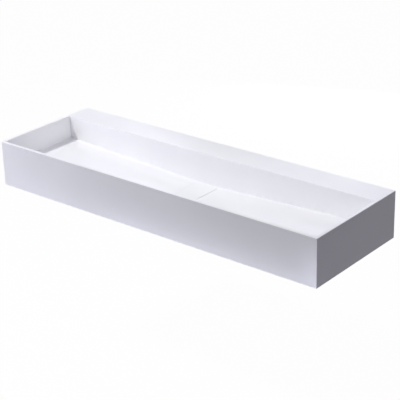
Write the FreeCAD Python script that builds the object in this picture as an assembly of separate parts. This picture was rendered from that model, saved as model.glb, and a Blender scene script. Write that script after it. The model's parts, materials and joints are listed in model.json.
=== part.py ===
import FreeCAD, Part
import math
import os

# Wall-hung trough washbasin, fabricated from bonded sheets of white solid surface.
# Millimetres. +X runs along the basin, +Y points into the wall, +Z is up.
# Heights below are measured up from the underside of the shell. When a piece is saved it is lowered so
# that the origin lies on the wall plane, in the middle of the four wall fixings.

# Trough
basin_length = 1400.0
basin_depth = 450.0
basin_height = 170.0
sheet = 12.0
deck_depth = 108.0
bowl_depth_at_ends = 87.0
bowl_depth_at_drain = 114.5
arris_radius = 1.2
rail_height = 40.0

# Drain channel and its lift-out cover
drain_opening_width = 100.0
channel_depth = 40.0
slit_width = 1.2
cover_end_gap = 1.0
cover_proud = 0.5
cover_arris_radius = 0.5
finger_notch_radius = 12.0
rest_block_width = 25.0
rest_block_depth = 12.0
pad_radius = 4.5
pad_thickness = 1.5
pad_inset = 0.5

# Strips bonded under the floor, and the battens that the brackets carry
cleat_width = 12.0
cleat_height = 14.0
batten_width = 60.0
batten_height = 32.0

# Wall brackets bent from flat bar
bracket_end_distance = 250.0
bar_width = 50.0
bar_thickness = 8.0
bar_bend_radius = 6.0
bar_corner_radius = 6.0
arm_front_gap = 30.0
arm_clearance = 2.0
leg_rail_gap = 6.0
fixing_spacing = 40.0
fixing_hole_radius = 5.5

# Bolts, washers and threaded inserts that hold the battens on the brackets
bolt_radius = 4.0
bolt_hole_clearance = 0.5
bolt_head_overhang = 3.0
bolt_head_height = 4.4
bolt_head_round = 1.5
bolt_engagement = 14.0
hex_socket_across_flats = 5.0
hex_socket_depth = 2.6
washer_width = 3.8
washer_thickness = 1.6
washer_hole_clearance = 0.2
insert_wall = 1.9
insert_length = 18.0
drill_tip_gap = 2.0
thread_clearance = 0.1
arm_bolt_shares = (0.15, 0.5, 0.85)

# Waste fitting
waste_setback = 80.0
waste_thread_radius = 20.95
waste_wall = 3.45
waste_body_length = 50.0
waste_hole_clearance = 1.0
flange_overhang = 11.0
flange_thickness = 3.0
flange_round = 1.2
gasket_inset = 1.5
upper_gasket_thickness = 1.5
lower_gasket_thickness = 3.0
friction_washer_thickness = 1.5
gasket_fit = 0.2
backnut_wall = 6.0
backnut_height = 10.0
backnut_chamfer = 1.5
tail_radius = 15.9
tail_wall = 1.6
tail_length = 45.0
tail_chamfer = 0.8
tail_collar_inset = 1.45
tail_collar_height = 3.0
tail_spigot_length = 12.0

# Lift-out strainer in the waste flange
strainer_seat_width = 2.2
strainer_seat_depth = 2.0
strainer_edge_gap = 0.4
strainer_thickness = 1.2
strainer_hole_radius = 1.9
strainer_hole_counts = (8, 14)
strainer_ring_shares = (0.5, 0.78)
knob_stem_radius = 1.9
knob_shoulder = 0.9
knob_neck_height = 6.0
knob_overhang = 3.2
knob_head_height = 6.0
knob_round = 1.4
rivet_overhang = 1.7
rivet_height = 1.2

# Length by which every cutting tool runs past the faces that it cuts
overrun = 20.0

# Share of the sheet within which two coordinates count as equal
match_share = 1e-6

# Planes of the trough, worked out from the sizes above
half_length = basin_length / 2
inner_half = half_length - sheet
front_inner_y = sheet - basin_depth
back_wall_y = -deck_depth
deck_underside = basin_height - sheet
end_floor_level = basin_height - bowl_depth_at_ends
drain_level = basin_height - bowl_depth_at_drain
drain_half = drain_opening_width / 2
cheek_outer = drain_half + sheet
ramp_run = inner_half - drain_half
ramp_rise = end_floor_level - drain_level
ramp_slope = ramp_rise / ramp_run
ramp_drop = sheet * math.hypot(1, ramp_slope)
rail_bottom = deck_underside - rail_height


def floor_level(x):
    """Height of the ramp's top at the distance x from the middle of the basin."""
    return drain_level + ramp_slope * (x - drain_half)


def ramp_underside(x):
    """Height of the ramp's underside at the distance x from the middle of the basin."""
    return floor_level(x) - ramp_drop


# Levels of the channel, the cover and the waste fitting
channel_floor_top = drain_level - channel_depth
channel_floor_bottom = channel_floor_top - sheet
channel_front_y = front_inner_y + sheet
channel_rear_y = back_wall_y - sheet
cover_front_y = channel_front_y + cover_end_gap
cover_rear_y = channel_rear_y - cover_end_gap
cover_top = drain_level + cover_proud
cover_underside = cover_top - sheet
rest_top = cover_underside - pad_thickness
waste_y = channel_rear_y - waste_setback
waste_bore_radius = waste_thread_radius - waste_wall
flange_radius = waste_thread_radius + flange_overhang
gasket_radius = flange_radius - gasket_inset
flange_bottom = channel_floor_top + upper_gasket_thickness
flange_top = flange_bottom + flange_thickness
waste_body_bottom = flange_bottom - waste_body_length
backnut_top = channel_floor_bottom - lower_gasket_thickness - friction_washer_thickness
backnut_bottom = backnut_top - backnut_height
strainer_seat_radius = waste_bore_radius + strainer_seat_width
strainer_seat_level = flange_top - strainer_seat_depth
strainer_radius = strainer_seat_radius - strainer_edge_gap
strainer_top = strainer_seat_level + strainer_thickness

# Levels of the brackets and the place of the wall fixings
bracket_x = half_length - bracket_end_distance
arm_top = ramp_underside(bracket_x) - batten_height
arm_bottom = arm_top - bar_thickness
wall_bottom = arm_top + arm_clearance
leg_top = rail_bottom - leg_rail_gap
bend_top = arm_top + bar_bend_radius
fixing_level = (bend_top + leg_top) / 2
batten_front_y = front_inner_y + cleat_width
batten_rear_y = back_wall_y - cleat_width
arm_front_y = batten_front_y + arm_front_gap
insert_radius = bolt_radius + thread_clearance + insert_wall
arm_bolt_ys = [batten_front_y + share * (batten_rear_y - batten_front_y) for share in arm_bolt_shares]

up = FreeCAD.Vector(0, 0, 1)
along_y = FreeCAD.Vector(0, 1, 0)
to_frame = FreeCAD.Vector(0, 0, -fixing_level)


def block(x0, x1, y0, y1, z0, z1):
    """A box between two opposite corners."""
    corner = FreeCAD.Vector(min(x0, x1), min(y0, y1), min(z0, z1))
    return Part.makeBox(abs(x1 - x0), abs(y1 - y0), abs(z1 - z0), corner)


def prism(points, sweep):
    """A solid swept from a flat closed outline."""
    return Part.Face(Part.makePolygon(points + points[:1])).extrude(sweep)


def prism_along_y(outline, y0, y1):
    """A solid whose outline is drawn in X and Z, running from y0 to y1."""
    return prism([FreeCAD.Vector(x, y0, z) for x, z in outline], FreeCAD.Vector(0, y1 - y0, 0))


def prism_upright(outline, z0, z1):
    """A solid whose outline is drawn in X and Y, running from z0 to z1."""
    return prism([FreeCAD.Vector(x, y, z0) for x, y in outline], FreeCAD.Vector(0, 0, z1 - z0))


def turned(outline, x, y):
    """A turned piece about the upright axis at x and y, from an outline of radii and heights."""
    points = [FreeCAD.Vector(x + radius, y, z) for radius, z in outline]
    face = Part.Face(Part.makePolygon(points + points[:1]))
    return face.revolve(FreeCAD.Vector(x, y, 0), up, 360)


def ring(inner, outer, z0, z1, x, y):
    """A flat ring or a plain sleeve."""
    return turned([(inner, z0), (outer, z0), (outer, z1), (inner, z1)], x, y)


def rod(radius, z0, z1, x, y):
    """An upright round bar."""
    return Part.makeCylinder(radius, z1 - z0, FreeCAD.Vector(x, y, z0))


def drill(radius, z0, z1, x, y):
    """A round cutter that runs past both faces of what it drills."""
    return rod(radius, z0 - overrun, z1 + overrun, x, y)


def hexagon(flat_radius, x, y):
    """Corners of a hexagon in order, with its flats at this distance from the middle."""
    corner_radius = flat_radius / math.cos(math.pi / 6)
    angles = [math.pi / 3 * step for step in range(6)]
    return [(x + corner_radius * math.cos(a), y + corner_radius * math.sin(a)) for a in angles]


def other_side(shape):
    """The same piece on the left of the basin."""
    return shape.mirror(FreeCAD.Vector(0, 0, 0), FreeCAD.Vector(1, 0, 0))


def ends_of(edge):
    """The two end points of an edge."""
    return [vertex.Point for vertex in edge.Vertexes]


def same(a, b):
    """Whether two coordinates are equal within the model's tolerance."""
    return math.isclose(a, b, rel_tol=0, abs_tol=match_share * sheet)


def round_edges(shape, radius, wanted):
    """Round the straight edges whose two end points both meet a condition."""
    edges = [e for e in shape.Edges if len(e.Vertexes) == 2 and wanted(*ends_of(e))]
    return shape.makeFillet(radius, edges)


def is_circle(edge, radius, level):
    """Whether an edge is a full circle of this radius at this level."""
    if not isinstance(edge.Curve, Part.Circle):
        return False
    return same(edge.Curve.Radius, radius) and same(edge.Curve.Center.z, level)


def one_solid(shape):
    """The single solid inside a boolean result."""
    return shape.Solids[0]


def save(shape, node):
    """Place a piece in the frame of the wall fixings and write it."""
    placed = shape.copy()
    placed.translate(to_frame)
    placed.exportStep(f"parts/{node}.step")
    solids = len(placed.Solids)
    print(f"{node}: {solids} solids, {placed.Volume / 1000:.2f} cm3, valid {placed.isValid()}")


# Shell panels: the shell is rounded as a whole, then cut along its bonded joints

def rounded_shell():
    """Front, ends, deck and inner back wall together, with the outer edges and the bowl's rim eased."""
    shell = block(-half_length, half_length, -basin_depth, 0, 0, basin_height)
    bowl = block(-inner_half, inner_half, front_inner_y, back_wall_y, -overrun, basin_height + overrun)
    behind = block(-inner_half, inner_half, back_wall_y + sheet, overrun, -overrun, deck_underside)
    below = block(-inner_half, inner_half, back_wall_y - overrun, overrun, -overrun, wall_bottom)
    shell = shell.cut(bowl).cut(behind).cut(below)

    def outside(point):
        return same(abs(point.x), half_length) or same(point.y, -basin_depth)

    def wanted(a, b):
        against_wall = same(a.y, 0) and same(b.y, 0)
        on_rim = same(a.z, basin_height) and same(b.z, basin_height)
        return not against_wall and (on_rim or (outside(a) and outside(b)))

    return round_edges(shell, min(arris_radius, sheet / 3), wanted)


def front_cutter():
    """A wedge-ended block that keeps the front panel, mitred at both corners."""
    outer_x = half_length + overrun
    outer_y = -basin_depth - overrun
    inner_x = inner_half - overrun
    inner_y = front_inner_y + overrun
    outline = [(-outer_x, outer_y), (outer_x, outer_y), (inner_x, inner_y), (-inner_x, inner_y)]
    return prism_upright(outline, -overrun, basin_height + overrun)


def end_cutter():
    """A block that keeps the right end panel, mitred at the front."""
    outer_x = half_length + overrun
    outer_y = -basin_depth - overrun
    outline = [(outer_x, outer_y), (outer_x, overrun), (inner_half, overrun), (inner_half, front_inner_y)]
    return prism_upright(outline, -overrun, basin_height + overrun)


def save_shell():
    """Front panel, two end panels, rear deck, inner back wall and the rail under the deck."""
    shell = rounded_shell()
    above = basin_height + overrun
    before = back_wall_y - overrun
    deck_cutter = block(-inner_half, inner_half, before, overrun, deck_underside, above)
    wall_cutter = block(-inner_half, inner_half, before, overrun, -overrun, deck_underside)
    end_panel = one_solid(shell.common(end_cutter()))
    save(one_solid(shell.common(front_cutter())), "front_panel")
    save(end_panel, "right_end_panel")
    save(other_side(end_panel), "left_end_panel")
    save(one_solid(shell.common(deck_cutter)), "rear_deck")
    save(one_solid(shell.common(wall_cutter)), "inner_back_wall")
    save(block(-inner_half, inner_half, -sheet, 0, rail_bottom, deck_underside), "rear_rail")


# Floor ramps and the strips bonded under them

def sloping_strip(x0, x1, height, y0, y1):
    """A piece whose top follows the underside of the right ramp."""
    top = [(x0, ramp_underside(x0)), (x1, ramp_underside(x1))]
    bottom = [(x1, ramp_underside(x1) - height), (x0, ramp_underside(x0) - height)]
    return prism_along_y(top + bottom, y0, y1)


def floor_ramp():
    """The right ramp, falling from the end panel to the drain opening."""
    top = [(drain_half, floor_level(drain_half)), (inner_half, floor_level(inner_half))]
    bottom = [(inner_half, ramp_underside(inner_half)), (drain_half, ramp_underside(drain_half))]
    ramp = prism_along_y(top + bottom, front_inner_y, back_wall_y)

    def at_drain(a, b):
        return all(same(p.x, drain_half) and same(p.z, drain_level) for p in (a, b))

    return round_edges(ramp, min(cover_arris_radius, sheet / 3), at_drain)


def save_floor():
    """Both ramps and their front, rear and end cleats."""
    cleat_end = inner_half - cleat_width
    pieces = {
        "floor_ramp": floor_ramp(),
        "front_cleat": sloping_strip(cheek_outer, cleat_end, cleat_height, front_inner_y, batten_front_y),
        "rear_cleat": sloping_strip(cheek_outer, cleat_end, cleat_height, batten_rear_y, back_wall_y),
        "end_cleat": sloping_strip(cleat_end, inner_half, cleat_height, front_inner_y, back_wall_y),
    }
    for name, piece in pieces.items():
        save(piece, f"right_{name}")
        save(other_side(piece), f"left_{name}")


# Drain channel, its rests and the lift-out cover

def channel_cheek():
    """The right side of the channel, standing on its floor under the ramp's edge."""
    foot = [(drain_half, channel_floor_top), (cheek_outer, channel_floor_top)]
    head = [(cheek_outer, ramp_underside(cheek_outer)), (drain_half, ramp_underside(drain_half))]
    return prism_along_y(foot + head, front_inner_y, back_wall_y)


def channel_end(y_wall, y_open):
    """An end of the channel, with the edge that faces the opening eased."""
    end = block(-drain_half, drain_half, y_wall, y_open, channel_floor_top, drain_level)

    def at_opening(a, b):
        return all(same(p.y, y_open) and same(p.z, drain_level) for p in (a, b))

    return round_edges(end, min(cover_arris_radius, sheet / 3), at_opening)


def channel_floor():
    """The bottom of the channel, drilled for the waste."""
    low = channel_floor_bottom
    high = channel_floor_top
    floor = block(-cheek_outer, cheek_outer, front_inner_y, back_wall_y, low, high)
    return floor.cut(drill(waste_thread_radius + waste_hole_clearance, low, high, 0, waste_y))


def rest_block(y_end, inward):
    """A block in a right corner of the channel that one corner of the cover rests on."""
    x0 = drain_half - rest_block_width
    return block(x0, drain_half, y_end, y_end + inward * rest_block_depth, channel_floor_top, rest_top)


def save_channel():
    """Floor, cheeks, ends and rest blocks of the channel."""
    save(channel_floor(), "channel_floor")
    save(channel_cheek(), "right_channel_cheek")
    save(other_side(channel_cheek()), "left_channel_cheek")
    save(channel_end(front_inner_y, channel_front_y), "channel_front_end")
    save(channel_end(back_wall_y, channel_rear_y), "channel_rear_end")
    for name, y_end, inward in (("front", channel_front_y, 1), ("rear", channel_rear_y, -1)):
        save(rest_block(y_end, inward), f"right_{name}_rest_block")
        save(other_side(rest_block(y_end, inward)), f"left_{name}_rest_block")


def drain_cover():
    """The flat lift-out cover, with a finger notch in its front edge."""
    half_width = drain_half - slit_width
    plate = block(-half_width, half_width, cover_front_y, cover_rear_y, cover_underside, cover_top)

    def top_edge(a, b):
        return same(a.z, cover_top) and same(b.z, cover_top)

    plate = round_edges(plate, min(cover_arris_radius, sheet / 3), top_edge)
    return plate.cut(drill(finger_notch_radius, cover_underside, cover_top, 0, cover_front_y))


def cover_pads():
    """Four soft pads glued under the cover, one over each rest block."""
    x = drain_half - rest_block_width / 2
    from_edge = pad_inset + pad_radius
    ys = (cover_front_y + from_edge, cover_rear_y - from_edge)
    places = [(side * x, y) for side in (-1, 1) for y in ys]
    return Part.makeCompound([rod(pad_radius, rest_top, cover_underside, px, py) for px, py in places])


# Waste fitting and strainer

def waste_body():
    """The flanged and threaded body that clamps the channel floor."""
    round_radius = min(flange_round, flange_thickness / 2)
    outline = [
        (waste_bore_radius, waste_body_bottom),
        (waste_thread_radius, waste_body_bottom),
        (waste_thread_radius, flange_bottom),
        (flange_radius, flange_bottom),
        (flange_radius, flange_top),
        (strainer_seat_radius, flange_top),
        (strainer_seat_radius, strainer_seat_level),
        (waste_bore_radius, strainer_seat_level),
    ]
    body = turned(outline, 0, waste_y)
    rim = [e for e in body.Edges if is_circle(e, flange_radius, flange_top)]
    return body.makeFillet(round_radius, rim)


def backnut():
    """A hexagon nut with its corners turned off at both ends."""
    bore = waste_thread_radius + thread_clearance
    flat_radius = bore + backnut_wall
    corner_radius = flat_radius / math.cos(math.pi / 6)
    nut = prism_upright(hexagon(flat_radius, 0, waste_y), backnut_bottom, backnut_top)
    outline = [
        (bore, backnut_bottom),
        (flat_radius, backnut_bottom),
        (corner_radius, backnut_bottom + backnut_chamfer),
        (corner_radius, backnut_top - backnut_chamfer),
        (flat_radius, backnut_top),
        (bore, backnut_top),
    ]
    return one_solid(nut.common(turned(outline, 0, waste_y)))


def tailpiece():
    """The tail tube: a spigot inside the body, a collar against it and the free tail for a trap."""
    spigot_radius = waste_bore_radius - thread_clearance
    spigot_top = waste_body_bottom + tail_spigot_length
    collar_radius = waste_thread_radius - tail_collar_inset
    collar_middle = waste_body_bottom - tail_collar_height / 2
    collar_bottom = waste_body_bottom - tail_collar_height
    tail_end = collar_bottom - tail_length
    tip = tail_end - tail_chamfer
    outline = [
        (tail_radius - tail_wall, tip),
        (tail_radius - tail_chamfer, tip),
        (tail_radius, tail_end),
        (tail_radius, collar_bottom),
        (collar_radius, collar_bottom),
        (collar_radius, waste_body_bottom),
        (spigot_radius, waste_body_bottom),
        (spigot_radius, spigot_top),
        (spigot_radius - tail_wall, spigot_top),
        (spigot_radius - tail_wall, collar_middle),
        (tail_radius - tail_wall, collar_middle),
    ]
    return turned(outline, 0, waste_y)


def strainer_disc():
    """A perforated disc that lies in the flange."""
    low = strainer_seat_level
    high = strainer_top
    disc = ring(knob_stem_radius + thread_clearance, strainer_radius, low, high, 0, waste_y)
    drills = []
    for count, share in zip(strainer_hole_counts, strainer_ring_shares):
        for step in range(count):
            angle = 2 * math.pi * step / count
            x = share * strainer_radius * math.cos(angle)
            y = waste_y + share * strainer_radius * math.sin(angle)
            drills.append(drill(strainer_hole_radius, low, high, x, y))
    return disc.cut(Part.makeCompound(drills))


def strainer_knob():
    """A turned knob riveted through the middle of the disc."""
    rivet_bottom = strainer_seat_level - rivet_height
    rivet_radius = knob_stem_radius + rivet_overhang
    neck_radius = knob_stem_radius + knob_shoulder
    knob_radius = neck_radius + knob_overhang
    neck_top = strainer_top + knob_neck_height
    knob_top = neck_top + knob_head_height
    outline = [
        (0, rivet_bottom),
        (rivet_radius, rivet_bottom),
        (rivet_radius, strainer_seat_level),
        (knob_stem_radius, strainer_seat_level),
        (knob_stem_radius, strainer_top),
        (neck_radius, strainer_top),
        (neck_radius, neck_top),
        (knob_radius, neck_top),
        (knob_radius, knob_top),
        (0, knob_top),
    ]
    knob = turned(outline, 0, waste_y)
    levels = (neck_top, knob_top)
    rims = [e for e in knob.Edges if any(is_circle(e, knob_radius, level) for level in levels)]
    return knob.makeFillet(min(knob_round, knob_head_height / 3), rims)


def save_waste():
    """Body, gaskets, friction washer, nut, tail, strainer disc and knob."""
    bore = waste_thread_radius + gasket_fit
    washer_top = backnut_top + friction_washer_thickness
    save(waste_body(), "waste_body")
    save(ring(bore, gasket_radius, channel_floor_top, flange_bottom, 0, waste_y), "upper_gasket")
    save(ring(bore, gasket_radius, washer_top, channel_floor_bottom, 0, waste_y), "lower_gasket")
    save(ring(bore, gasket_radius, backnut_top, washer_top, 0, waste_y), "friction_washer")
    save(backnut(), "backnut")
    save(tailpiece(), "tailpiece")
    save(strainer_disc(), "strainer_disc")
    save(strainer_knob(), "strainer_knob")


# Battens, wall brackets and their fasteners

def support_batten():
    """A batten under the right ramp, its top following the slope, drilled for the inserts."""
    x0 = bracket_x - batten_width / 2
    x1 = bracket_x + batten_width / 2
    outline = [(x0, arm_top), (x1, arm_top), (x1, ramp_underside(x1)), (x0, ramp_underside(x0))]
    batten = prism_along_y(outline, batten_front_y, batten_rear_y)
    hole_top = arm_top + max(insert_length, bolt_engagement) + drill_tip_gap
    drill_radius = insert_radius + thread_clearance
    drills = [rod(drill_radius, arm_top - overrun, hole_top, bracket_x, y) for y in arm_bolt_ys]
    return batten.cut(Part.makeCompound(drills))


def bar_profile(x):
    """Side outline of the bent flat bar, drawn in Y and Z at the place x."""
    bend_y = -bar_thickness - bar_bend_radius
    outer = bar_bend_radius + bar_thickness
    diagonal = math.sqrt(2)

    def at(y, z):
        return FreeCAD.Vector(x, y, z)

    inner_mid = at(bend_y + bar_bend_radius / diagonal, bend_top - bar_bend_radius / diagonal)
    outer_mid = at(bend_y + outer / diagonal, bend_top - outer / diagonal)
    inner_bend = Part.Arc(at(-bar_thickness, bend_top), inner_mid, at(bend_y, arm_top))
    outer_bend = Part.Arc(at(bend_y, arm_bottom), outer_mid, at(0, bend_top))
    curves = [
        Part.LineSegment(at(0, leg_top), at(-bar_thickness, leg_top)),
        Part.LineSegment(at(-bar_thickness, leg_top), at(-bar_thickness, bend_top)),
        inner_bend,
        Part.LineSegment(at(bend_y, arm_top), at(arm_front_y, arm_top)),
        Part.LineSegment(at(arm_front_y, arm_top), at(arm_front_y, arm_bottom)),
        Part.LineSegment(at(arm_front_y, arm_bottom), at(bend_y, arm_bottom)),
        outer_bend,
        Part.LineSegment(at(0, bend_top), at(0, leg_top)),
    ]
    return Part.Face(Part.Wire([curve.toShape() for curve in curves]))


def wall_bracket():
    """A bent flat bar: the leg is fixed to the wall and the arm carries a batten."""
    bar = bar_profile(bracket_x - bar_width / 2).extrude(FreeCAD.Vector(bar_width, 0, 0))

    def bar_corner(a, b):
        arm_corner = all(same(p.y, arm_front_y) for p in (a, b)) and not same(a.z, b.z)
        leg_corner = all(same(p.z, leg_top) for p in (a, b)) and not same(a.y, b.y)
        return arm_corner or leg_corner

    bar = round_edges(bar, min(bar_corner_radius, bar_width / 3), bar_corner)
    leg_start = FreeCAD.Vector(bracket_x, -bar_thickness - overrun, 0)
    drills = []
    for side in (-1, 1):
        start = leg_start + up * (fixing_level + side * fixing_spacing / 2)
        drills.append(Part.makeCylinder(fixing_hole_radius, bar_thickness + 2 * overrun, start, along_y))
    hole_radius = bolt_radius + bolt_hole_clearance
    for y in arm_bolt_ys:
        drills.append(drill(hole_radius, arm_bottom, arm_top, bracket_x, y))
    return bar.cut(Part.makeCompound(drills))


def arm_bolt(y):
    """A button-head bolt with a hexagon socket, driven up through the arm into its insert."""
    head_top = arm_bottom - washer_thickness
    head_bottom = head_top - bolt_head_height
    head_radius = bolt_radius + bolt_head_overhang
    outline = [
        (0, head_bottom),
        (head_radius, head_bottom),
        (head_radius, head_top),
        (bolt_radius, head_top),
        (bolt_radius, arm_top + bolt_engagement),
        (0, arm_top + bolt_engagement),
    ]
    bolt = turned(outline, bracket_x, y)
    rim = [e for e in bolt.Edges if is_circle(e, head_radius, head_bottom)]
    bolt = bolt.makeFillet(min(bolt_head_round, bolt_head_height / 2), rim)
    socket_outline = hexagon(hex_socket_across_flats / 2, bracket_x, y)
    socket = prism_upright(socket_outline, head_bottom - overrun, head_bottom + hex_socket_depth)
    return bolt.cut(socket)


def arm_washer(y):
    """A plain washer under a bolt head."""
    hole = bolt_radius + washer_hole_clearance
    return ring(hole, hole + washer_width, arm_bottom - washer_thickness, arm_bottom, bracket_x, y)


def batten_insert(y):
    """A threaded insert screwed into the batten, flush with its underside."""
    bore = bolt_radius + thread_clearance
    return ring(bore, insert_radius, arm_top, arm_top + insert_length, bracket_x, y)


def save_supports():
    """Battens, brackets, bolts, washers and inserts on both sides."""
    pieces = {
        "support_batten": support_batten(),
        "wall_bracket": wall_bracket(),
        "arm_bolts": Part.makeCompound([arm_bolt(y) for y in arm_bolt_ys]),
        "arm_washers": Part.makeCompound([arm_washer(y) for y in arm_bolt_ys]),
        "batten_inserts": Part.makeCompound([batten_insert(y) for y in arm_bolt_ys]),
    }
    for name, piece in pieces.items():
        save(piece, f"right_{name}")
        save(other_side(piece), f"left_{name}")


os.makedirs("parts", exist_ok=True)
save_shell()
save_floor()
save_channel()
save(drain_cover(), "drain_cover")
save(cover_pads(), "cover_pads")
save_waste()
save_supports()
print(f"underside at {-fixing_level:.3f}, rim at {basin_height - fixing_level:.3f}")
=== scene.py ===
# %% [markdown]
# A wall-hung trough washbasin, photographed alone on white.
# The basin is glued up from 12 mm sheets of a cast acrylic and mineral material, sanded to a satin white.
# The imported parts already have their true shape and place, so this lesson dresses them: it sets the camera
# and the light, gives every part the finish that its real material has, and models the few details that
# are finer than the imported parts, such as screw threads.

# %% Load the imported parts
import json
import math
import bmesh
import bpy
from mathutils import Matrix, Vector

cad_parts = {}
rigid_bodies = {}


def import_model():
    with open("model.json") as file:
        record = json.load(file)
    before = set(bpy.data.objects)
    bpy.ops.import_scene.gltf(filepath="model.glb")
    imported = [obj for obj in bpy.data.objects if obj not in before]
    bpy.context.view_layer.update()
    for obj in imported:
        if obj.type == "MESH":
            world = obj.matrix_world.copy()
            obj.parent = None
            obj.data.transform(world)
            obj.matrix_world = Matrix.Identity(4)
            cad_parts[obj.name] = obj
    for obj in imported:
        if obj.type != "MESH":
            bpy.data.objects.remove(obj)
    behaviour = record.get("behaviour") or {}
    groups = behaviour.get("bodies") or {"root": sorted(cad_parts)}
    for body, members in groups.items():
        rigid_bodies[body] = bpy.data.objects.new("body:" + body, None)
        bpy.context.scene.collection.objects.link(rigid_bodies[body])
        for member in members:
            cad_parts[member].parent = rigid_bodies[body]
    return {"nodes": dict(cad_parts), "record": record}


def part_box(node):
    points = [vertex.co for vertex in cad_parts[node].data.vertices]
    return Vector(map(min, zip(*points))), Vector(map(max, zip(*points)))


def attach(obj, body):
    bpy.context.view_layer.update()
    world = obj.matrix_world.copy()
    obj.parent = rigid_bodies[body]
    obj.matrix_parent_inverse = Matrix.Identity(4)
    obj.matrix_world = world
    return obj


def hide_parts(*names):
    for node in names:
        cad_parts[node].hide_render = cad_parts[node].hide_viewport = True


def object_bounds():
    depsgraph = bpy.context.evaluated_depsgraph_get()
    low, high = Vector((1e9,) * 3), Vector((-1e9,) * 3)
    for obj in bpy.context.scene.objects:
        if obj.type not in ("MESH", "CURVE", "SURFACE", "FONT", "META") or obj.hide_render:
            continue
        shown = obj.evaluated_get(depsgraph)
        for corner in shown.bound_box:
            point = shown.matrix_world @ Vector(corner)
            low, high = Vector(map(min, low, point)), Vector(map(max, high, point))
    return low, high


mm_per_metre = 1000

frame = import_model()
packed_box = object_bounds()
print("packed box in mm:", [[round(c * mm_per_metre, 1) for c in corner] for corner in packed_box])

# %% [markdown]
# The camera stands in front of the basin's right end and looks down on it with a long lens.
# Its place could be guessed by eye, but the basin's straight edges are better: the place, the turn and the
# lens below make the corners of the 1400 x 450 x 170 mm shell fall on the corners in the photograph.
# The picture is square and leans by under two degrees, which the roll carries.

# %% Camera
lens_mm = 111.22
sensor_mm = 36.0
azimuth = math.radians(40.0748)
elevation = math.radians(23.7544)
roll = math.radians(-1.6996)
camera_place = Vector((2.58828, -3.23565, 1.70878))
far_clip = 100.0

view_back = Vector((
    math.sin(azimuth) * math.cos(elevation),
    -math.cos(azimuth) * math.cos(elevation),
    math.sin(elevation),
))
level_right = Vector((math.cos(azimuth), math.sin(azimuth), 0))
level_up = view_back.cross(level_right)
view_right = math.cos(roll) * level_right + math.sin(roll) * level_up
view_up = math.cos(roll) * level_up - math.sin(roll) * level_right

camera = bpy.data.objects.new("camera", bpy.data.cameras.new("camera"))
camera.data.sensor_width = sensor_mm
camera.data.lens = lens_mm
camera.data.clip_end = far_clip
turn = Matrix((view_right, view_up, view_back)).transposed().to_4x4()
camera.matrix_world = Matrix.Translation(camera_place) @ turn
bpy.context.scene.collection.objects.link(camera)
bpy.context.scene.camera = camera
print("camera at", [round(c, 3) for c in camera_place], "with a lens of", lens_mm, "mm")

# %% [markdown]
# Colours are written as sRGB hex values, as a colour picker shows them, but a shader wants linear light.
# One function does that step. A second one adds a node with its settings and its links, which keeps each
# finish below short. A third turns a real size in millimetres into a texture scale, because Object
# coordinates count in metres.

# %% Colour, node and scale helpers
def linear(hex_colour):
    """A shader colour from an sRGB hex value, by the curve of the sRGB standard."""
    channels = [int(hex_colour[i:i + 2], 16) / 255 for i in (1, 3, 5)]
    lit = [c / 12.92 if c <= 0.04045 else ((c + 0.055) / 1.055) ** 2.4 for c in channels]
    return (*lit, 1.0)


def add_node(tree, kind, settings=None, inputs=None):
    """Adds a node: settings are its own options, inputs are socket values or sockets to link from."""
    node = tree.nodes.new(kind)
    for option, value in (settings or {}).items():
        setattr(node, option, value)
    for key, value in (inputs or {}).items():
        if isinstance(value, bpy.types.NodeSocket):
            tree.links.new(value, node.inputs[key])
        else:
            node.inputs[key].default_value = value
    return node


def per_mm(size_mm):
    """Texture scale that gives features of about this size."""
    return mm_per_metre / size_mm


print("the sheet's white in linear light:", [round(c, 3) for c in linear("#FBFBFC")])

# %% [markdown]
# The basin hangs on a wall, so nothing stands under it: its rim is fixed about 850 mm above the floor.
# The floor here is that far below. A real studio would get a white background from paper lit by lamps of
# its own. The Light Path node does the same with less light in the room: rays from the camera and from
# mirrors meet white, and the rays that carry light meet a grey floor, which keeps the basin's shaded end
# dark as in the photograph. A part of the floor stays ordinary paint, so that a shadow can still lie on it.

# %% Studio floor paint
floor_white_share = 0.98
white_strength = 1.0


def seen_rays(tree):
    """1 for rays from the camera and for mirrored or transmitted ones, 0 for diffuse light."""
    path = add_node(tree, "ShaderNodeLightPath")
    direct = add_node(tree, "ShaderNodeMath", {"operation": "ADD", "use_clamp": True},
                      {0: path.outputs["Is Camera Ray"], 1: path.outputs["Is Glossy Ray"]})
    every = add_node(tree, "ShaderNodeMath", {"operation": "ADD", "use_clamp": True},
                     {0: direct.outputs[0], 1: path.outputs["Is Transmission Ray"]})
    return every.outputs[0]


paint = bpy.data.materials.new("matt studio floor paint")
paint.use_nodes = True
tree = paint.node_tree
tree.nodes.clear()
seen = seen_rays(tree)
tone = add_node(tree, "ShaderNodeValToRGB", {}, {"Fac": seen})
tone.color_ramp.elements[0].color = linear("#8C8D90")
tone.color_ramp.elements[1].color = linear("#FAFAFB")
matt = add_node(tree, "ShaderNodeBsdfDiffuse", {}, {"Color": tone.outputs["Color"]})
glow = add_node(tree, "ShaderNodeEmission", {},
                {"Color": linear("#FFFFFF"), "Strength": white_strength})
share = add_node(tree, "ShaderNodeMath", {"operation": "MULTIPLY"}, {0: seen, 1: floor_white_share})
both = add_node(tree, "ShaderNodeMixShader", {},
                {"Fac": share.outputs[0], 1: matt.outputs[0], 2: glow.outputs[0]})
add_node(tree, "ShaderNodeOutputMaterial", {}, {"Surface": both.outputs[0]})
print("floor paint has", len(tree.nodes), "nodes")

# %% [markdown]
# The floor itself is one large square, so large that its far edge lies in the white of the sky. The editor's
# own plane could be scaled and moved. A bmesh grid gets its size and its level in the mesh instead, and the
# object stays at the origin. The floor belongs to the stage, not to the basin.

# %% Studio floor
rim_above_floor = 0.85
floor_half_width = 40.0

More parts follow.
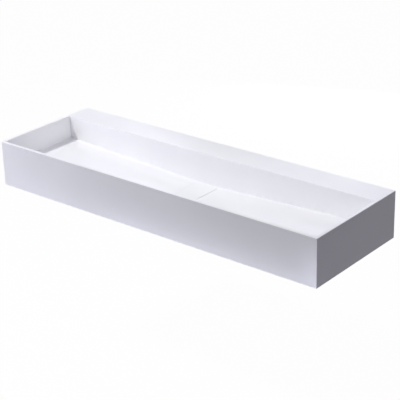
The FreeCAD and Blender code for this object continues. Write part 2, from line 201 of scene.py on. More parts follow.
floor_level = packed_box[1].z - rim_above_floor
shape = bmesh.new()
bmesh.ops.create_grid(shape, x_segments=1, y_segments=1, size=floor_half_width)
bmesh.ops.translate(shape, verts=shape.verts, vec=(0, 0, floor_level))
floor = bpy.data.objects.new("floor", bpy.data.meshes.new("floor"))
shape.to_mesh(floor.data)
shape.free()
floor.data.materials.append(paint)
bpy.context.scene.collection.objects.link(floor)
print("floor at", round(floor_level, 3), "m")

# %% [markdown]
# The light in the photograph comes from high on the left: the left wall throws a narrow shadow on the bowl's
# floor, the front is a middle grey that is lightest at its left end and along its lower edge, and the right
# end is the darkest face. One neutral lamp far off gives that key light. A slightly blue lamp at the left
# lifts the near end of the front, and a lamp behind shows the side that meets the wall.
# Each lamp's strength could be tried by hand. Here each was rendered by itself first, and the mix that comes
# nearest to the photograph's tones was worked out, because light simply adds up.

# %% Key, left and rear lamps
key_tint = "#FEFFFF"
fill_tint = "#EAEDFF"


def studio_lamp(name, tint, place, aim, size, watts, spread_degrees=180):
    """A rectangular lamp at a place, turned to face a point, and not itself in the picture."""
    lamp = bpy.data.lights.new(name, "AREA")
    lamp.shape = "RECTANGLE"
    lamp.size, lamp.size_y = size
    lamp.spread = math.radians(spread_degrees)
    lamp.energy = watts
    lamp.color = linear(tint)[:3]
    holder = bpy.data.objects.new(name, lamp)
    holder.location = place
    holder.rotation_euler = (Vector(aim) - Vector(place)).to_track_quat("-Z", "Y").to_euler()
    holder.visible_camera = False
    bpy.context.scene.collection.objects.link(holder)
    print(name, "at", [round(c, 2) for c in place], "with", watts, "W")


studio_lamp("key_lamp", key_tint, place=(-2.6, -2.72, 4.6), aim=(-0.3, -0.27, 0.0),
            size=(0.6, 0.6), watts=189.5)
studio_lamp("left_lamp", fill_tint, place=(-1.3, -1.1, 0.35), aim=(-0.6, -0.45, 0.02),
            size=(0.5, 0.5), watts=4.2)
studio_lamp("rear_lamp", key_tint, place=(-1.2, 3.0, -0.2), aim=(0.0, 0.0, -0.02),
            size=(1.6, 0.8), watts=30.0)

# %% [markdown]
# A white basin fills itself with light that bounces between its walls. Small lamps help it where the
# photograph is brighter than that. Two of them fill the bowl: one hangs over its front half, and a narrow one
# shines in over the deck, which leaves the foot of the back wall in the deck's shade. Two low lamps behind
# light the ends of the deck, and a narrow one reaches only the left wall. Two weak strips lift the lower edge
# of the front, and a small lamp close to the corner lifts its right end.

# %% Fill lamps
narrow_degrees = 35
narrowest_degrees = 25

studio_lamp("bowl_lamp", key_tint, place=(0.12, -0.33, 0.8), aim=(0.12, -0.33, 0.0),
            size=(1.16, 0.08), watts=0.69)
studio_lamp("floor_lamp", key_tint, place=(0.12, 0.2, 0.9), aim=(0.12, -0.28, 0.02),
            size=(1.16, 0.08), watts=0.12, spread_degrees=narrow_degrees)
studio_lamp("left_deck_lamp", fill_tint, place=(-0.62, 0.3, 0.45), aim=(-0.62, -0.05, 0.1),
            size=(0.35, 0.15), watts=0.58)
studio_lamp("right_deck_lamp", fill_tint, place=(0.5, 0.3, 0.45), aim=(0.5, -0.05, 0.1),
            size=(0.45, 0.15), watts=0.74)
studio_lamp("left_wall_lamp", key_tint, place=(0.6, -0.3, 0.45), aim=(-0.69, -0.25, 0.04),
            size=(0.3, 0.3), watts=0.066, spread_degrees=narrowest_degrees)
studio_lamp("left_strip", fill_tint, place=(-0.46, -0.55, -0.18), aim=(-0.46, -0.45, -0.07),
            size=(0.48, 0.04), watts=0.127)
studio_lamp("right_strip", fill_tint, place=(0.27, -0.53, -0.16), aim=(0.27, -0.45, -0.07),
            size=(0.94, 0.03), watts=0.299)
studio_lamp("corner_lamp", fill_tint, place=(0.7, -0.53, -0.02), aim=(0.7, -0.45, -0.01),
            size=(0.03, 0.12), watts=0.0168)

# %% [markdown]
# A dim, slightly blue sky keeps the shaded faces open. It is white only where it is looked at, as the floor
# is. The Standard view shows a colour as it was written. A filmic view would turn the whites grey.

# %% Sky and view
sky_tint = "#EDE7FF"
sky_strength = 0.187

sky = bpy.data.worlds.new("studio sky")
sky.use_nodes = True
tree = sky.node_tree
tree.nodes.clear()
dim = add_node(tree, "ShaderNodeBackground", {},
               {"Color": linear(sky_tint), "Strength": sky_strength})
white = add_node(tree, "ShaderNodeBackground", {},
                 {"Color": linear("#FFFFFF"), "Strength": white_strength})
pick = add_node(tree, "ShaderNodeMixShader", {},
                {"Fac": seen_rays(tree), 1: dim.outputs[0], 2: white.outputs[0]})
add_node(tree, "ShaderNodeOutputWorld", {}, {"Surface": pick.outputs[0]})
bpy.context.scene.world = sky
bpy.context.scene.view_settings.view_transform = "Standard"
print("sky of strength", sky_strength, "in the", bpy.context.scene.view_settings.view_transform, "view")

# %% [markdown]
# The record names a slot for every part. Each finish below is kept under the name of its slot, so that a part
# finds its finish by itself. Every finish starts from an empty tree that reads Object coordinates, which stay
# with the part when it moves, and ends in one Principled shader, which other programs can read too.

# %% A place for the finishes
finishes = {}


def start_finish(slot, name):
    """A new empty material for a slot; returns its node tree and the Object coordinates."""
    finish = bpy.data.materials.new(name)
    finish.use_nodes = True
    finish.node_tree.nodes.clear()
    finishes[slot] = finish
    print("finish:", name)
    return finish.node_tree, add_node(finish.node_tree, "ShaderNodeTexCoord").outputs["Object"]


def end_finish(tree, inputs):
    """Adds the shader with its inputs and sends it to the material's surface."""
    shader = add_node(tree, "ShaderNodeBsdfPrincipled", {}, inputs)
    add_node(tree, "ShaderNodeOutputMaterial", {}, {"Surface": shader.outputs["BSDF"]})


slot_of = {entry["node"]: entry["material_slot"] for entry in frame["record"]["subparts"]}
print("slots to fill:", sorted(set(slot_of.values())))

# %% [markdown]
# The white sheets are cast from acrylic resin filled with a fine mineral powder. They are sanded in circles
# until they are satin, so the eye sees an even, slightly cool white, soft reflections and no grain. A flat
# white would look like paper. Wide clouds and a small fleck move the tone a little, and the sanding moves the
# gloss. The real fleck is as fine as dust and is drawn at 3 mm.

# %% Satin white sheet
cloud_mm = 160
fleck_mm = 3
fleck_share = 0.5
sanding_mm = 35

tree, place = start_finish("solid_surface", "acrylic and mineral sheet, cast and sanded satin")
cloud = add_node(tree, "ShaderNodeTexNoise", {},
                 {"Vector": place, "Scale": per_mm(cloud_mm), "Detail": 2.0})
fleck = add_node(tree, "ShaderNodeTexNoise", {},
                 {"Vector": place, "Scale": per_mm(fleck_mm), "Detail": 3.0})
mixed = add_node(tree, "ShaderNodeMath", {"operation": "MULTIPLY_ADD"},
                 {0: fleck.outputs["Fac"], 1: fleck_share, 2: cloud.outputs["Fac"]})
tone = add_node(tree, "ShaderNodeValToRGB", {}, {"Fac": mixed.outputs[0]})
tone.color_ramp.elements[0].position = 0.55
tone.color_ramp.elements[0].color = linear("#F7F7F9")
tone.color_ramp.elements[1].position = 0.95
tone.color_ramp.elements[1].color = linear("#FBFBFC")
sanding = add_node(tree, "ShaderNodeTexNoise", {},
                   {"Vector": place, "Scale": per_mm(sanding_mm), "Detail": 4.0})
satin = add_node(tree, "ShaderNodeMapRange", {},
                 {"Value": sanding.outputs["Fac"], "From Min": 0.3, "From Max": 0.7,
                  "To Min": 0.34, "To Max": 0.42})

# %% [markdown]
# The backs of the sheets face down, out of sight, and keep the swirls of the first coarse grit. They could
# have a finish of their own, but every sheet has both sides. The direction of the face's normal tells the two
# apart within one finish.

# %% Coarse backs of the sheet
swirl_mm = 7
coarse_roughness = 0.4
coarse_relief = 8.0

face = add_node(tree, "ShaderNodeNewGeometry")
facing = add_node(tree, "ShaderNodeSeparateXYZ", {}, {"Vector": face.outputs["True Normal"]})
underside = add_node(tree, "ShaderNodeMapRange", {},
                     {"Value": facing.outputs["Z"], "From Min": -0.6, "From Max": -0.9,
                      "To Min": 0.0, "To Max": 1.0})
swirls = add_node(tree, "ShaderNodeTexNoise", {},
                  {"Vector": place, "Scale": per_mm(swirl_mm), "Detail": 5.0, "Distortion": 2.5})
coarse = add_node(tree, "ShaderNodeMath", {"operation": "MULTIPLY"},
                  {0: underside.outputs[0], 1: swirls.outputs["Fac"]})
skin = add_node(tree, "ShaderNodeMath", {"operation": "MULTIPLY_ADD"},
                {0: coarse.outputs[0], 1: coarse_roughness, 2: satin.outputs[0]})
height = add_node(tree, "ShaderNodeMath", {"operation": "MULTIPLY_ADD"},
                  {0: coarse.outputs[0], 1: coarse_relief, 2: fleck.outputs["Fac"]})
relief = add_node(tree, "ShaderNodeBump", {},
                  {"Height": height.outputs[0], "Strength": 0.04, "Distance": 0.0004})
end_finish(tree, {"Base Color": tone.outputs["Color"], "Roughness": skin.outputs[0], "IOR": 1.5,
                  "Normal": relief.outputs["Normal"]})
print("the sheet's finish has", len(tree.nodes), "nodes")

# %% [markdown]
# Four small pads under the drain cover are moulded from clear grey silicone. Silicone is soft-looking because
# light goes a little way into it, and its skin is matt with a faint dusty bloom. One noise drives the colour,
# the gloss and the relief, so that a dusty spot is paler, duller and rougher at once.

# %% Moulded silicone
bloom_mm = 2.5

tree, place = start_finish("silicone", "silicone rubber, moulded")
bloom = add_node(tree, "ShaderNodeTexNoise", {},
                 {"Vector": place, "Scale": per_mm(bloom_mm), "Detail": 3.0})
tone = add_node(tree, "ShaderNodeValToRGB", {}, {"Fac": bloom.outputs["Fac"]})
tone.color_ramp.elements[0].color = linear("#C9CCCE")
tone.color_ramp.elements[1].color = linear("#E2E4E5")
skin = add_node(tree, "ShaderNodeMapRange", {},
                {"Value": bloom.outputs["Fac"], "To Min": 0.42, "To Max": 0.62})
relief = add_node(tree, "ShaderNodeBump", {},
                  {"Height": bloom.outputs["Fac"], "Strength": 0.1, "Distance": 0.0002})
end_finish(tree, {"Base Color": tone.outputs["Color"], "Roughness": skin.outputs[0], "IOR": 1.41,
                  "Subsurface Weight": 0.25, "Subsurface Radius": (0.9, 0.9, 1.0),
                  "Subsurface Scale": 0.002, "Normal": relief.outputs["Normal"]})

# %% [markdown]
# The two gaskets of the waste are cut from black EPDM rubber. It is nearly black, dull, and slightly pitted.
# Here too one noise moves colour, gloss and relief together. The real pits are finer and are drawn at 1.2 mm
# so that they show.

# %% Black gasket rubber
pit_mm = 1.2

tree, place = start_finish("epdm_rubber", "EPDM rubber, moulded")
pits = add_node(tree, "ShaderNodeTexNoise", {},
                {"Vector": place, "Scale": per_mm(pit_mm), "Detail": 4.0})
tone = add_node(tree, "ShaderNodeValToRGB", {}, {"Fac": pits.outputs["Fac"]})
tone.color_ramp.elements[0].position = 0.3
tone.color_ramp.elements[0].color = linear("#18191A")
tone.color_ramp.elements[1].position = 0.75
tone.color_ramp.elements[1].color = linear("#2E2F31")
skin = add_node(tree, "ShaderNodeMapRange", {},
                {"Value": pits.outputs["Fac"], "To Min": 0.55, "To Max": 0.8})
relief = add_node(tree, "ShaderNodeBump", {},
                  {"Height": pits.outputs["Fac"], "Strength": 0.35, "Distance": 0.0002})
end_finish(tree, {"Base Color": tone.outputs["Color"], "Roughness": skin.outputs[0], "IOR": 1.5,
                  "Normal": relief.outputs["Normal"]})

# %% [markdown]
# Turned parts carry fine rings round their own axis. The Wave texture draws rings about the Z axis, so a
# Mapping node first moves the axis of the waste to the middle: it stands halfway along the basin, 200 mm in
# front of the wall. The texture counts 20 radians to a unit, which the ring scale takes into account.
# The friction washer is turned from white nylon, a warm white with a waxy skin.

# %% Turned nylon
waste_axis = Vector((0.0, -0.2, 0.0))
full_turn = 2 * math.pi
wave_radians_per_unit = 20
nylon_ring_mm = 0.8
wax_mm = 7


def rings_per_mm(spacing_mm):
    """Wave texture scale that puts rings this far apart."""
    return full_turn / wave_radians_per_unit * mm_per_metre / spacing_mm


tree, place = start_finish("white_nylon", "nylon, turned")
centred = add_node(tree, "ShaderNodeMapping", {}, {"Vector": place, "Location": -waste_axis})
cuts = add_node(tree, "ShaderNodeTexWave", {"wave_type": "RINGS", "rings_direction": "Z"},
                {"Vector": centred.outputs[0], "Scale": rings_per_mm(nylon_ring_mm), "Distortion": 0.6})
wax = add_node(tree, "ShaderNodeTexNoise", {},
               {"Vector": place, "Scale": per_mm(wax_mm), "Detail": 2.0})
tone = add_node(tree, "ShaderNodeValToRGB", {}, {"Fac": wax.outputs["Fac"]})
tone.color_ramp.elements[0].color = linear("#DDD8CC")
tone.color_ramp.elements[1].color = linear("#EFECE4")
skin = add_node(tree, "ShaderNodeMapRange", {},
                {"Value": wax.outputs["Fac"], "To Min": 0.36, "To Max": 0.52})
relief = add_node(tree, "ShaderNodeBump", {},
                  {"Height": cuts.outputs["Fac"], "Strength": 0.15, "Distance": 0.0001})
end_finish(tree, {"Base Color": tone.outputs["Color"], "Roughness": skin.outputs[0], "IOR": 1.53,
                  "Normal": relief.outputs["Normal"]})

# %% [markdown]
# The waste body and its tail are brass, polished and chromed. Chrome is a slightly blue, very clear mirror.
# A perfect mirror would look drawn. What makes it real are the faint haze of handling, in the gloss, and a
# little waviness from the polishing wheel, in the relief.

# %% Polished chrome
haze_mm = 9
wheel_mm = 14

tree, place = start_finish("chromed_brass", "brass, polished and chrome plated")
haze = add_node(tree, "ShaderNodeTexNoise", {},
                {"Vector": place, "Scale": per_mm(haze_mm), "Detail": 5.0})
tone = add_node(tree, "ShaderNodeValToRGB", {}, {"Fac": haze.outputs["Fac"]})
tone.color_ramp.elements[0].color = linear("#B9BDC2")
tone.color_ramp.elements[1].color = linear("#CBCED2")
skin = add_node(tree, "ShaderNodeMapRange", {},
                {"Value": haze.outputs["Fac"], "From Min": 0.35, "From Max": 0.7,
                 "To Min": 0.06, "To Max": 0.17})
wheel = add_node(tree, "ShaderNodeTexNoise", {},
                 {"Vector": place, "Scale": per_mm(wheel_mm), "Detail": 1.0})
relief = add_node(tree, "ShaderNodeBump", {},
                  {"Height": wheel.outputs["Fac"], "Strength": 0.08, "Distance": 0.0006})
end_finish(tree, {"Base Color": tone.outputs["Color"], "Metallic": 1.0, "Roughness": skin.outputs[0],
                  "Normal": relief.outputs["Normal"]})

# %% [markdown]
# The backnut and the threaded inserts are plain turned brass: warm yellow, browner and duller where it has
# tarnished, with the rings of the turning tool. Real rings are about 0.2 mm apart and are drawn at 0.6 mm so
# that they show.

# %% Turned brass
brass_ring_mm = 0.6
tarnish_mm = 8

tree, place = start_finish("bare_brass", "brass, turned and left bare")
centred = add_node(tree, "ShaderNodeMapping", {}, {"Vector": place, "Location": -waste_axis})
cuts = add_node(tree, "ShaderNodeTexWave", {"wave_type": "RINGS", "rings_direction": "Z"},
                {"Vector": centred.outputs[0], "Scale": rings_per_mm(brass_ring_mm), "Distortion": 0.5})
tarnish = add_node(tree, "ShaderNodeTexNoise", {},
                   {"Vector": place, "Scale": per_mm(tarnish_mm), "Detail": 6.0})
tone = add_node(tree, "ShaderNodeValToRGB", {}, {"Fac": tarnish.outputs["Fac"]})
tone.color_ramp.elements[0].position = 0.3
tone.color_ramp.elements[0].color = linear("#A8853F")
tone.color_ramp.elements[1].position = 0.65
tone.color_ramp.elements[1].color = linear("#D9B866")
skin = add_node(tree, "ShaderNodeMapRange", {},
                {"Value": tarnish.outputs["Fac"], "From Min": 0.3, "From Max": 0.7,
                 "To Min": 0.42, "To Max": 0.24})
relief = add_node(tree, "ShaderNodeBump", {},
                  {"Height": cuts.outputs["Fac"], "Strength": 0.12, "Distance": 0.0001})
end_finish(tree, {"Base Color": tone.outputs["Color"], "Metallic": 1.0, "Roughness": skin.outputs[0],
                  "Normal": relief.outputs["Normal"]})

# %% [markdown]
# The strainer is pressed from stainless sheet and polished on a wheel, which leaves fine circles round its
# middle. An anisotropic shader could stretch the highlights instead. Circles in the gloss and the relief show
# the same in every program. They are finer on the real disc and are drawn at 0.7 mm.

# %% Wheel-polished stainless
circle_mm = 0.7
smear_mm = 5

tree, place = start_finish("polished_stainless", "stainless steel, pressed and wheel polished")
centred = add_node(tree, "ShaderNodeMapping", {}, {"Vector": place, "Location": -waste_axis})
circles = add_node(tree, "ShaderNodeTexWave", {"wave_type": "RINGS", "rings_direction": "Z"},
                   {"Vector": centred.outputs[0], "Scale": rings_per_mm(circle_mm),
                    "Distortion": 1.5, "Detail": 3.0})
smear = add_node(tree, "ShaderNodeTexNoise", {},
                 {"Vector": place, "Scale": per_mm(smear_mm), "Detail": 4.0})
tone = add_node(tree, "ShaderNodeValToRGB", {}, {"Fac": smear.outputs["Fac"]})
tone.color_ramp.elements[0].color = linear("#BDBDBA")
tone.color_ramp.elements[1].color = linear("#D6D6D3")
skin = add_node(tree, "ShaderNodeMapRange", {},
                {"Value": circles.outputs["Fac"], "To Min": 0.16, "To Max": 0.28})
relief = add_node(tree, "ShaderNodeBump", {},
                  {"Height": circles.outputs["Fac"], "Strength": 0.08, "Distance": 0.0001})
end_finish(tree, {"Base Color": tone.outputs["Color"], "Metallic": 1.0, "Roughness": skin.outputs[0],
                  "Normal": relief.outputs["Normal"]})

# %% [markdown]
# The wall brackets are bent from stainless flat bar. The bar is ground lengthways in the mill, so its
# scratches run along the arm and, past the bend, up the leg. Noise that is stretched along Y and Z alike
# follows both runs, and only changes quickly across the bar. The real scratches are about 0.1 mm apart and
# are drawn at 0.7 mm.

# %% Ground flat bar
scratch_mm = 0.7
scratch_length_mm = 70
mill_mm = 30

tree, place = start_finish("stainless_bar", "stainless flat bar, ground lengthways")
stretch = (per_mm(scratch_mm), per_mm(scratch_length_mm), per_mm(scratch_length_mm))
stretched = add_node(tree, "ShaderNodeMapping", {}, {"Vector": place, "Scale": stretch})
scratches = add_node(tree, "ShaderNodeTexNoise", {},
                     {"Vector": stretched.outputs[0], "Scale": 1.0, "Detail": 3.0})
mill = add_node(tree, "ShaderNodeTexNoise", {},
                {"Vector": place, "Scale": per_mm(mill_mm), "Detail": 3.0})
tone = add_node(tree, "ShaderNodeValToRGB", {}, {"Fac": scratches.outputs["Fac"]})
tone.color_ramp.elements[0].position = 0.3
tone.color_ramp.elements[0].color = linear("#9C9D9C")
tone.color_ramp.elements[1].position = 0.7
tone.color_ramp.elements[1].color = linear("#C4C5C3")
skin = add_node(tree, "ShaderNodeMapRange", {},
                {"Value": mill.outputs["Fac"], "From Min": 0.3, "From Max": 0.7,
                 "To Min": 0.28, "To Max": 0.42})
relief = add_node(tree, "ShaderNodeBump", {},
                  {"Height": scratches.outputs["Fac"], "Strength": 0.2, "Distance": 0.0001})
end_finish(tree, {"Base Color": tone.outputs["Color"], "Metallic": 1.0, "Roughness": skin.outputs[0],
                  "Normal": relief.outputs["Normal"]})

# %% [markdown]
# Bolts and washers are steel with a thin bright zinc plating. It has a blue-grey cast and small cloudy
# crystals. Voronoi cells come near to crystals, and noise to the clouds. The real crystals are finer and are
# drawn at 1.6 mm so that they show.

# %% Zinc plating
crystal_mm = 1.6
zinc_cloud_mm = 4

tree, place = start_finish("zinc_plated_steel", "steel, bright zinc plated")
crystals = add_node(tree, "ShaderNodeTexVoronoi", {}, {"Vector": place, "Scale": per_mm(crystal_mm)})
clouds = add_node(tree, "ShaderNodeTexNoise", {},
                  {"Vector": place, "Scale": per_mm(zinc_cloud_mm), "Detail": 3.0})
tone = add_node(tree, "ShaderNodeValToRGB", {}, {"Fac": clouds.outputs["Fac"]})
tone.color_ramp.elements[0].position = 0.3
tone.color_ramp.elements[0].color = linear("#98A0A8")
tone.color_ramp.elements[1].position = 0.7
tone.color_ramp.elements[1].color = linear("#C6CCD0")
skin = add_node(tree, "ShaderNodeMapRange", {},
                {"Value": crystals.outputs["Distance"], "To Min": 0.26, "To Max": 0.46})
end_finish(tree, {"Base Color": tone.outputs["Color"], "Metallic": 1.0, "Roughness": skin.outputs[0]})

# %% [markdown]
# The battens under the floor are birch plywood, sealed with thin lacquer. Their sides show the plies: layers
# of about 1.4 mm that are pale where the grain runs along and browner where it ends, with a dark line of glue
# between. The layers lie flat, so bands that change with height draw them on every side at once, and the flat
# underside falls within one layer, as it should. Fine streaks along the batten are the grain.

# %% Lacquered birch plywood
ply_pair_mm = 2.8
grain_mm = 1.5
grain_length_mm = 45
grain_share = 0.35

tree, place = start_finish("birch_plywood", "birch plywood, sawn and lacquered")
plies = add_node(tree, "ShaderNodeTexWave",
                 {"wave_type": "BANDS", "bands_direction": "Z", "wave_profile": "SIN"},
                 {"Vector": place, "Scale": rings_per_mm(ply_pair_mm), "Distortion": 0.25,
                  "Detail Scale": 20.0})
stretch = (per_mm(grain_mm), per_mm(grain_length_mm), per_mm(grain_mm))
along = add_node(tree, "ShaderNodeMapping", {}, {"Vector": place, "Scale": stretch})
grain = add_node(tree, "ShaderNodeTexNoise", {},
                 {"Vector": along.outputs[0], "Scale": 1.0, "Detail": 4.0})
layered = add_node(tree, "ShaderNodeMath", {"operation": "MULTIPLY_ADD"},
                   {0: grain.outputs["Fac"], 1: grain_share, 2: plies.outputs["Fac"]})
tone = add_node(tree, "ShaderNodeValToRGB", {}, {"Fac": layered.outputs[0]})
tone.color_ramp.elements[0].position = 0.12
tone.color_ramp.elements[0].color = linear("#8A6A45")
tone.color_ramp.elements[1].position = 0.95
tone.color_ramp.elements[1].color = linear("#E3CBA0")
pale = tone.color_ramp.elements.new(0.4)
pale.color = linear("#CDAE7E")
skin = add_node(tree, "ShaderNodeMapRange", {},
                {"Value": grain.outputs["Fac"], "To Min": 0.38, "To Max": 0.58})
relief = add_node(tree, "ShaderNodeBump", {},
                  {"Height": layered.outputs[0], "Strength": 0.2, "Distance": 0.0002})
end_finish(tree, {"Base Color": tone.outputs["Color"], "Roughness": skin.outputs[0], "IOR": 1.5,
                  "Normal": relief.outputs["Normal"]})

# %% [markdown]
# Dressing the parts one by one would be long and easy to get wrong. The record already says which slot each
# part belongs to, so one loop hands out the finishes.

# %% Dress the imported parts
for node, slot in slot_of.items():
    part = frame["nodes"][node]
    part.data.materials.clear()
    part.data.materials.append(finishes[slot])
print("dressed", len(slot_of), "parts in", len(finishes), "finishes")

# %% [markdown]
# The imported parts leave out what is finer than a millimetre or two. The next pieces take the place of some of
# them. Four are turned parts, so each starts as an outline of radius and height that is spun once round the
# axis of the waste. A Screw modifier could do it too, but the spin operator closes the seam by itself.
# A round edge is a bevel: a Bevel modifier would do the same, but it would stay live.

# %% Helpers to spin and round a shape
merge_distance = 1e-6
sharp_angle = math.radians(30)
upwards = (0, 0, 1)


def spin_outline(shape, outline, steps):
    """Spins (radius, height) points once round the waste; an outline from the axis stays open."""
    points = [shape.verts.new((waste_axis.x + radius, waste_axis.y, height)) for radius, height in outline]
    pairs = list(zip(points, points[1:]))
    if outline[0][0] > 0:
        pairs.append((points[-1], points[0]))
    sides = [shape.edges.new(pair) for pair in pairs]
    bmesh.ops.spin(shape, geom=points + sides, cent=waste_axis, axis=upwards, angle=full_turn,
                   steps=steps, use_merge=True)
    bmesh.ops.remove_doubles(shape, verts=shape.verts, dist=merge_distance)
    bmesh.ops.recalc_face_normals(shape, faces=shape.faces)


def axis_distance(vertex):
    """How far a vertex is from the waste's axis."""
    return (vertex.co - waste_axis).xy.length


def sharp_edges(shape):
    """Edges where two faces meet at a clear angle."""
    return [e for e in shape.edges if e.is_manifold and e.calc_face_angle() > sharp_angle]


def soften(shape, edges, width, segments):
    """Rounds the given edges."""
    bmesh.ops.bevel(shape, geom=edges, offset=width, offset_type="OFFSET", segments=segments,
                    profile=0.5, affect="EDGES", material=-1)


print("edges over", round(math.degrees(sharp_angle)), "degrees count as sharp")

# %% [markdown]
# A finished shape becomes an object that moves with the same body as the part it stands for, and wears the
# same finish. Its large faces weigh most in the shading, so that a rounded edge doesn't darken the flat faces
# beside it.

# %% Helper to put a piece in a part's place
crease_angle = math.radians(40)
bodies = frame["record"]["behaviour"]["bodies"]
body_of = {node: body for body, nodes in bodies.items() for node in nodes}


def put_piece(name, shape, node, crease=crease_angle):
    """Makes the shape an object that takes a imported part's place, on its body and in its finish."""
    mesh = bpy.data.meshes.new(name)
    shape.to_mesh(mesh)
    shape.free()
    mesh.shade_smooth()
    mesh.set_sharp_from_angle(angle=crease)
    mesh.materials.append(finishes[slot_of[node]])
    piece = bpy.data.objects.new(name, mesh)
    bpy.context.scene.collection.objects.link(piece)
    weigh = piece.modifiers.new("large faces first", "WEIGHTED_NORMAL")
    weigh.keep_sharp = True
    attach(piece, body_of[node])
    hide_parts(node)
    print(name, "has", len(mesh.polygons), "faces")


print("parts on each body:", {body: len(nodes) for body, nodes in bodies.items()})

# %% [markdown]
# The waste body is a flanged tube whose shank carries a pipe thread, eleven turns to the inch. On the real
# part the thread is cut into the shank. Here the shank is spun at the depth of the cut, and the thread is
# wound on it afterwards.

# %% Spin the waste body
spin_steps = 96
bore_radius = 0.0175
thread_radius = 0.02095
thread_depth = 0.00148
seat_radius = 0.0197
seat_depth = 0.002
flange_thickness = 0.003
flange_round = 0.0012
flange_segments = 5

body_low, body_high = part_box("waste_body")
flange_radius = (body_high.x - body_low.x) / 2
flange_underside = body_high.z - flange_thickness
root_radius = thread_radius - thread_depth
shape = bmesh.new()
spin_outline(shape, [
    (bore_radius, body_low.z),
    (root_radius, body_low.z),
    (root_radius, flange_underside),
    (flange_radius, flange_underside),
    (flange_radius, body_high.z),
    (seat_radius, body_high.z),
    (seat_radius, body_high.z - seat_depth),
    (bore_radius, body_high.z - seat_depth),
], spin_steps)


def on_upper_rim(vertex):
    """True at the flange's upper outer edge."""
    outside_seat = axis_distance(vertex) > seat_radius + flange_round
    return outside_seat and vertex.co.z > body_high.z - merge_distance


upper_rim = [e for e in sharp_edges(shape) if all(on_upper_rim(v) for v in e.verts)]
soften(shape, upper_rim, flange_round, flange_segments)
print("waste body spun with", len(shape.faces), "faces")

# %% [markdown]
# The thread is a ridge. Its section is spun for many turns and climbs one pitch a turn, which is what a lathe
# does with its tool. The ridge bites a little into the shank, so that no gap shows. A helix could be worked
# out point by point, but the spin operator has a climb of its own.

# %% Wind the thread
thread_pitch = 0.002309
thread_bite = 0.0002
thread_steps = 40
plain_tip = 0.0008
plain_neck = 0.002
foot_share = 0.02
crest_start_share = 0.40
crest_end_share = 0.58
head_share = 0.96

thread_low = body_low.z + plain_tip
thread_room = flange_underside - plain_neck - thread_low
thread_turns = math.floor(thread_room / thread_pitch - 1)
ridge_section = [
    (root_radius - thread_bite, foot_share),
    (thread_radius, crest_start_share),
    (thread_radius, crest_end_share),
    (root_radius - thread_bite, head_share),
]
corners = [
    shape.verts.new((waste_axis.x + radius, waste_axis.y, thread_low + pitch_share * thread_pitch))
    for radius, pitch_share in ridge_section
]
sides = [shape.edges.new(pair) for pair in zip(corners, corners[1:] + corners[:1])]
bmesh.ops.spin(shape, geom=corners + sides, cent=waste_axis, axis=upwards,
               angle=full_turn * thread_turns, steps=thread_turns * thread_steps,
               dvec=(0, 0, thread_pitch / thread_steps))
ridge_ends = [e for e in shape.edges if e.is_boundary]
bmesh.ops.holes_fill(shape, edges=ridge_ends, sides=len(ridge_section))
bmesh.ops.recalc_face_normals(shape, faces=shape.faces)
print("thread wound for", thread_turns, "turns")
put_piece("threaded_waste_body", shape, "waste_body")

# %% [markdown]
# The strainer lifts out by a small knob. Its head is knurled with straight grooves, so that wet fingers hold
# it. Rivet, neck and head are one outline that starts and ends on the axis, and the spin has two steps for
# each ridge.

# %% Spin the strainer knob
ridge_count = 30
rivet_radius = 0.0036
stem_radius = 0.0019
neck_radius = 0.0028
head_height = 0.006
head_round = 0.0012
head_segments = 4
small_round = 0.00025
small_segments = 2

knob_low, knob_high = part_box("strainer_knob")
disc_low, disc_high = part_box("strainer_disc")
head_radius = (knob_high.x - knob_low.x) / 2
head_underside = knob_high.z - head_height
shape = bmesh.new()
spin_outline(shape, [
    (0, knob_low.z),
    (rivet_radius, knob_low.z),
    (rivet_radius, disc_low.z),
    (stem_radius, disc_low.z),
    (stem_radius, disc_high.z),
    (neck_radius, disc_high.z),
    (neck_radius, head_underside),
    (head_radius, head_underside),
    (head_radius, knob_high.z),
    (0, knob_high.z),
], 2 * ridge_count)
inside_radius = (neck_radius + head_radius) / 2
small_edges = [e for e in sharp_edges(shape) if all(axis_distance(v) < inside_radius for v in e.verts)]
soften(shape, small_edges, small_round, small_segments)
rim_start = head_radius - head_round
head_edges = [e for e in sharp_edges(shape) if all(axis_distance(v) > rim_start for v in e.verts)]
soften(shape, head_edges, head_round, head_segments)
print("knob spun with", len(shape.faces), "faces")

# %% [markdown]
# A knurling wheel presses its grooves into the turned head. The model does the same: every other column of
# the head's vertices is pushed in towards the axis, and the columns between them are left as ridges.

# %% Knurl the knob's head
groove_depth = 0.00035
groove_reach = 0.0008

for v in shape.verts:
    arm = (v.co - waste_axis).xy
    column = round(math.atan2(arm.y, arm.x) / (math.pi / ridge_count))
    if arm.length > head_radius - groove_reach and column % 2:
        v.co.xy = waste_axis.xy + arm * (1 - groove_depth / arm.length)
bmesh.ops.recalc_face_normals(shape, faces=shape.faces)
put_piece("knurled_strainer_knob", shape, "strainer_knob")

# %% [markdown]
# A rubber gasket that is clamped bulges at its edges and stays flat where it is pressed. A torus would be
# round all over, so both gaskets are spun as flat rings and only their edges are rounded.

# %% Clamped gaskets
gasket_bore = 0.02115
bulge_share = 0.35
bulge_segments = 4

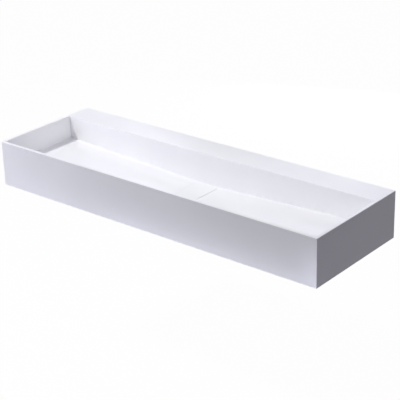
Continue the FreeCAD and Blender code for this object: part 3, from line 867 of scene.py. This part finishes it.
for node in ("upper_gasket", "lower_gasket"):
    low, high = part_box(node)
    gasket_radius = (high.x - low.x) / 2
    shape = bmesh.new()
    spin_outline(shape, [
        (gasket_bore, low.z),
        (gasket_radius, low.z),
        (gasket_radius, high.z),
        (gasket_bore, high.z),
    ], spin_steps)
    soften(shape, sharp_edges(shape), (high.z - low.z) * bulge_share, bulge_segments)
    put_piece("clamped_" + node, shape, node)

# %% [markdown]
# Few real parts have knife edges. Flat bar leaves the mill with slightly round edges, plywood is sanded so
# that it doesn't splinter, bolts and nuts are tumbled, and the holes of a strainer are polished smooth.
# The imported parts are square, so a copy of each is merged into one skin, its flat triangles are joined to
# larger faces again, and the edges that are left sharp are bevelled.

# %% Ease the edges of bar, wood, fasteners and pads
ease_segments = 3
flat_angle = math.radians(1)
edge_round_mm = {
    "left_wall_bracket": 0.8,
    "right_wall_bracket": 0.8,
    "left_support_batten": 0.8,
    "right_support_batten": 0.8,
    "left_arm_bolts": 0.25,
    "right_arm_bolts": 0.25,
    "left_arm_washers": 0.2,
    "right_arm_washers": 0.2,
    "backnut": 0.35,
    "tailpiece": 0.3,
    "friction_washer": 0.3,
    "strainer_disc": 0.2,
    "cover_pads": 0.5,
}


def merged_copy(node):
    """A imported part's mesh as one closed skin, with its flat triangles joined."""
    shape = bmesh.new()
    shape.from_mesh(frame["nodes"][node].data)
    bmesh.ops.remove_doubles(shape, verts=shape.verts, dist=merge_distance)
    bmesh.ops.dissolve_limit(shape, angle_limit=flat_angle, verts=shape.verts, edges=shape.edges)
    return shape


for node, round_mm in edge_round_mm.items():
    shape = merged_copy(node)
    soften(shape, sharp_edges(shape), round_mm / mm_per_metre, ease_segments)
    put_piece("eased_" + node, shape, node)

# %% [markdown]
# The front and the two ends meet in mitred corners. Where three rounded edges run into one point there, the
# packed panels have a few triangles without any area. A merged copy of each panel has none and is one closed
# skin. Its rounded edges stay flat facets of a fraction of a millimetre, because a smooth shade would run on
# from them into the square faces of the mitre.

# %% Close the skins of the mitred panels
for node in ("front_panel", "left_end_panel", "right_end_panel"):
    put_piece("closed_" + node, merged_copy(node), node, crease=flat_angle)
